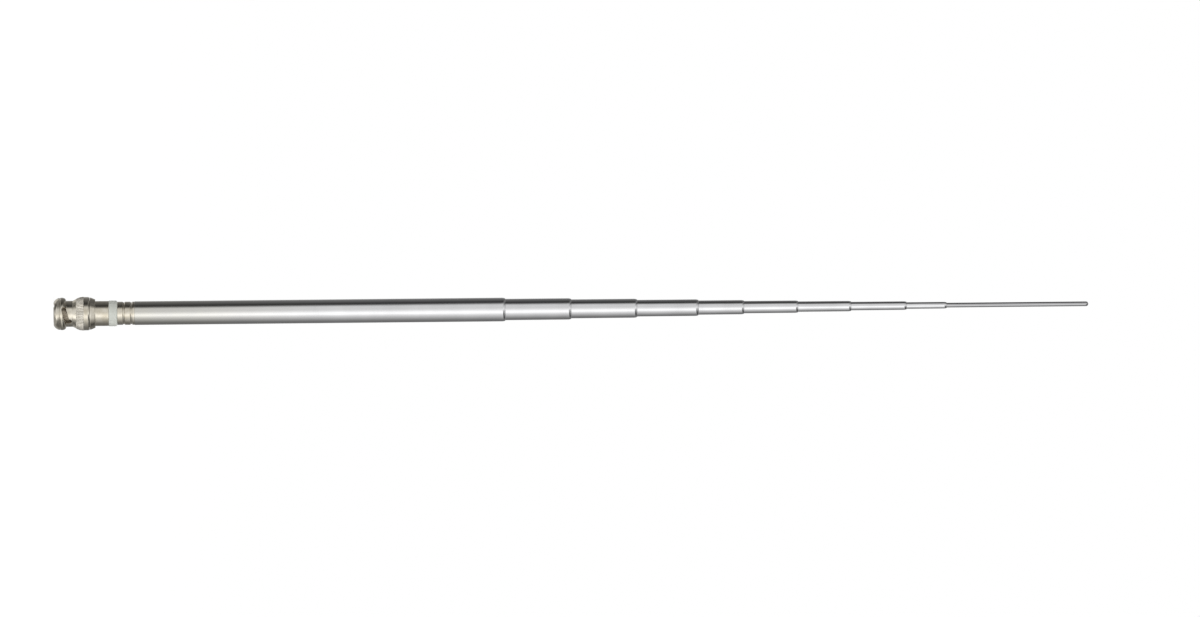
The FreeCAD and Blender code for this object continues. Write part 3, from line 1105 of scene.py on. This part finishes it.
# Brightness of the drum's paper by direction, in degrees from the camera's side, positive towards the top
# of the picture. The tubes reflect its middle. The beads of the rim, the rolled mouths and the bevel of the
# flange reflect the parts below and above that. The bottom shows in the tubes when seen from above.
side_levels = (
    (-180, 0.75), (-173, 0.75), (-164, 0.22), (-116, 0.26), (-97, 0.42), (-81, 0.62), (-67, 0.83),
    (-53, 1.08), (-41, 1.42), (-29, 1.84), (-17, 1.78), (-6, 1.48), (6, 1.2), (17, 1.05),
    (46, 1.02), (55, 0.74), (63, 0.3), (71, 0.1), (82, 0.05), (97, 0.12), (116, 0.19), (135, 0.25),
    (148, 0.42), (162, 0.35), (170, 0.75), (180, 0.75),
)
lower_levels = (
    (-180, 0.45), (-165, 0.5), (-148, 0.5), (-132, 0.3), (-110, 0.2), (-81, 0.28), (-67, 0.35),
    (-53, 0.5), (-45, 0.7), (-33, 1.3), (-23, 1.75), (-12, 1.6), (0, 1.1), (40, 0.85), (55, 0.5),
    (70, 0.3), (90, 0.35), (125, 0.3), (140, 0.85), (162, 0.85), (180, 0.45),
)
lowest_levels = (
    (-180, 0.5), (-96, 0.5), (-82, 0.6), (-68, 1.05), (-60, 1.5), (-50, 1.9), (-30, 1.85),
    (-12, 1.4), (0, 1.15), (40, 1.0), (60, 0.95), (68, 0.78), (82, 0.45), (96, 0.12), (130, 0.2),
    (150, 0.5), (180, 0.5),
)
bottom_levels = (
    (-180, 1.0), (-140, 0.8), (-100, 0.3), (-60, 0.8), (-30, 1.2), (20, 1.0), (60, 0.6),
    (100, 0.25), (140, 0.8), (180, 1.0),
)
upper_levels = (
    (-180, 0.5), (-120, 0.2), (-90, 0.08), (-60, 0.1), (-40, 0.2), (-25, 0.45), (-12, 0.75),
    (-2, 1.3), (12, 1.25), (35, 0.8), (55, 0.6), (74, 0.2), (100, 0.15), (150, 0.25), (180, 0.5),
)
bevel_levels = (
    (-180, 0.6), (-120, 0.3), (-97, 0.25), (-81, 0.32), (-67, 0.47), (-53, 0.65), (-41, 0.95),
    (-29, 1.03), (-6, 1.0), (29, 0.97), (41, 1.05), (53, 0.55), (67, 0.16), (81, 0.22), (97, 0.25),
    (120, 0.4), (180, 0.6),
)
# Each zone takes over from those before it between two heights of the drum, in metres.
zones = (
    (lower_levels, -1.9, -2.6),
    (lowest_levels, -10.0, -12.0),
    (bottom_levels, -39.0, -39.5),
    (upper_levels, 2.6, 3.2),
    (bevel_levels, 6.8, 7.6),
    (upper_levels, 12.5, 13.5),
)
brightest = 1.9
drum_radius = 12.0
drum_low = -40.0
drum_high = 25.0
drum_steps = 96
work = bmesh.new()
rims = []
for height in (drum_low, drum_high):
    rim = []
    for step in range(drum_steps):
        angle = 2 * math.pi * step / drum_steps
        rim.append(work.verts.new((drum_radius * math.cos(angle), drum_radius * math.sin(angle), height)))
    rims.append(rim)
for step in range(drum_steps):
    work.faces.new((rims[0][step - 1], rims[0][step], rims[1][step], rims[1][step - 1]))
for rim in rims:
    work.faces.new(rim)
paper_drum = made("paper_drum", work)
paper_drum.visible_camera = False
paper_drum.visible_diffuse = False
paper_drum.visible_transmission = False
paper_drum.visible_volume_scatter = False
paper_drum.visible_shadow = False
graded_paper = bpy.data.materials.new("graded_studio_paper")
graded_paper.use_nodes = True
tree = graded_paper.node_tree
place = add(tree, "ShaderNodeTexCoord", {}, {}).outputs["Object"]
parts = add(tree, "ShaderNodeSeparateXYZ", {}, {"Vector": place})
upward = add(tree, "ShaderNodeMath", {"operation": "MULTIPLY", 1: -1}, {0: parts.outputs["X"]})
camera_side = add(tree, "ShaderNodeMath", {"operation": "MULTIPLY", 1: -1}, {0: parts.outputs["Y"]})
bearing = add(
    tree,
    "ShaderNodeMath",
    {"operation": "ARCTAN2"},
    {0: upward.outputs["Value"], 1: camera_side.outputs["Value"]},
)
# The bright strip narrows towards the plug: between two heights of the drum, in metres, the bearings
# shift by an angle in radians times their sine.
narrow_height = -0.35
wide_height = 0.2
narrow_shift = 0.17
wide_shift = -0.05
spread = add(
    tree,
    "ShaderNodeMapRange",
    {"From Min": narrow_height, "From Max": wide_height, "To Min": narrow_shift, "To Max": wide_shift},
    {"Value": parts.outputs["Z"]},
)
sideways = add(tree, "ShaderNodeMath", {"operation": "SINE"}, {0: bearing.outputs["Value"]})
spread_bearing = add(
    tree,
    "ShaderNodeMath",
    {"operation": "MULTIPLY_ADD"},
    {0: sideways.outputs["Value"], 1: spread.outputs["Result"], 2: bearing.outputs["Value"]},
)
turn = add(
    tree,
    "ShaderNodeMapRange",
    {"From Min": -math.pi, "From Max": math.pi},
    {"Value": spread_bearing.outputs["Value"]},
)
grades = []
for levels in (side_levels, *[zone[0] for zone in zones]):
    grade = add(tree, "ShaderNodeValToRGB", {}, {"Fac": turn.outputs["Result"]})
    stops = grade.color_ramp.elements
    anywhere = 0.5
    while len(stops) < len(levels):
        stops.new(anywhere)
    for stop, (degrees, value) in zip(stops, levels):
        stop.position = (degrees + 180) / 360
        stop.color = (value / brightest, value / brightest, value / brightest, 1)
    grades.append(grade.outputs["Color"])
paper = grades[0]
for (_, start, full), grade in zip(zones, grades[1:]):
    share = add(
        tree,
        "ShaderNodeMapRange",
        {"From Min": start, "From Max": full},
        {"Value": parts.outputs["Z"]},
    )
    blend = add(
        tree,
        "ShaderNodeMix",
        {"data_type": "RGBA"},
        {0: share.outputs["Result"], 6: paper, 7: grade},
    )
    paper = blend.outputs[2]
glow = add(tree, "ShaderNodeEmission", {"Strength": brightest}, {"Color": paper})
tree.links.new(glow.outputs["Emission"], tree.nodes["Material Output"].inputs["Surface"])
paper_drum.data.materials.append(graded_paper)

# Lamp: one large soft box beside the camera, on the side of the bright strip.
# It lights the matt pieces and the floor, and reflections don't show it.
lamp = bpy.data.lights.new("soft_box", "AREA")
lamp.size = 1.0
lamp.energy = 9.0
soft_box = bpy.data.objects.new("soft_box", lamp)
bpy.context.collection.objects.link(soft_box)
soft_box.location = (0.55, -1.25, 0.6)
lamp_aim = Vector((0, 0, 0.2))
soft_box.rotation_euler = (lamp_aim - soft_box.location).to_track_quat("-Z", "Y").to_euler()
soft_box.visible_glossy = False

# Camera: a long lens, square to the side of the rod and turned so that the rod lies across the picture
# with its plug on the left.
aim_height = 0.2294
camera_distance = 6.75
roll = math.radians(0.567)
along = Vector((0, 0, 1))
back = Vector((0, -1, 0))
above = Vector((-1, 0, 0))
picture_right = math.cos(roll) * along - math.sin(roll) * above
picture_up = math.sin(roll) * along + math.cos(roll) * above
lens = bpy.data.cameras.new("camera")
lens.sensor_fit = "HORIZONTAL"
lens.sensor_width = 36
lens.lens = 480
lens.clip_start = 0.01
camera = bpy.data.objects.new("camera", lens)
bpy.context.collection.objects.link(camera)
camera.matrix_world = (
    Matrix.Translation(Vector((0, 0, aim_height)) + camera_distance * back)
    @ Matrix((picture_right, picture_up, back)).transposed().to_4x4()
)
bpy.context.scene.camera = camera
bpy.context.scene.view_settings.view_transform = "Standard"
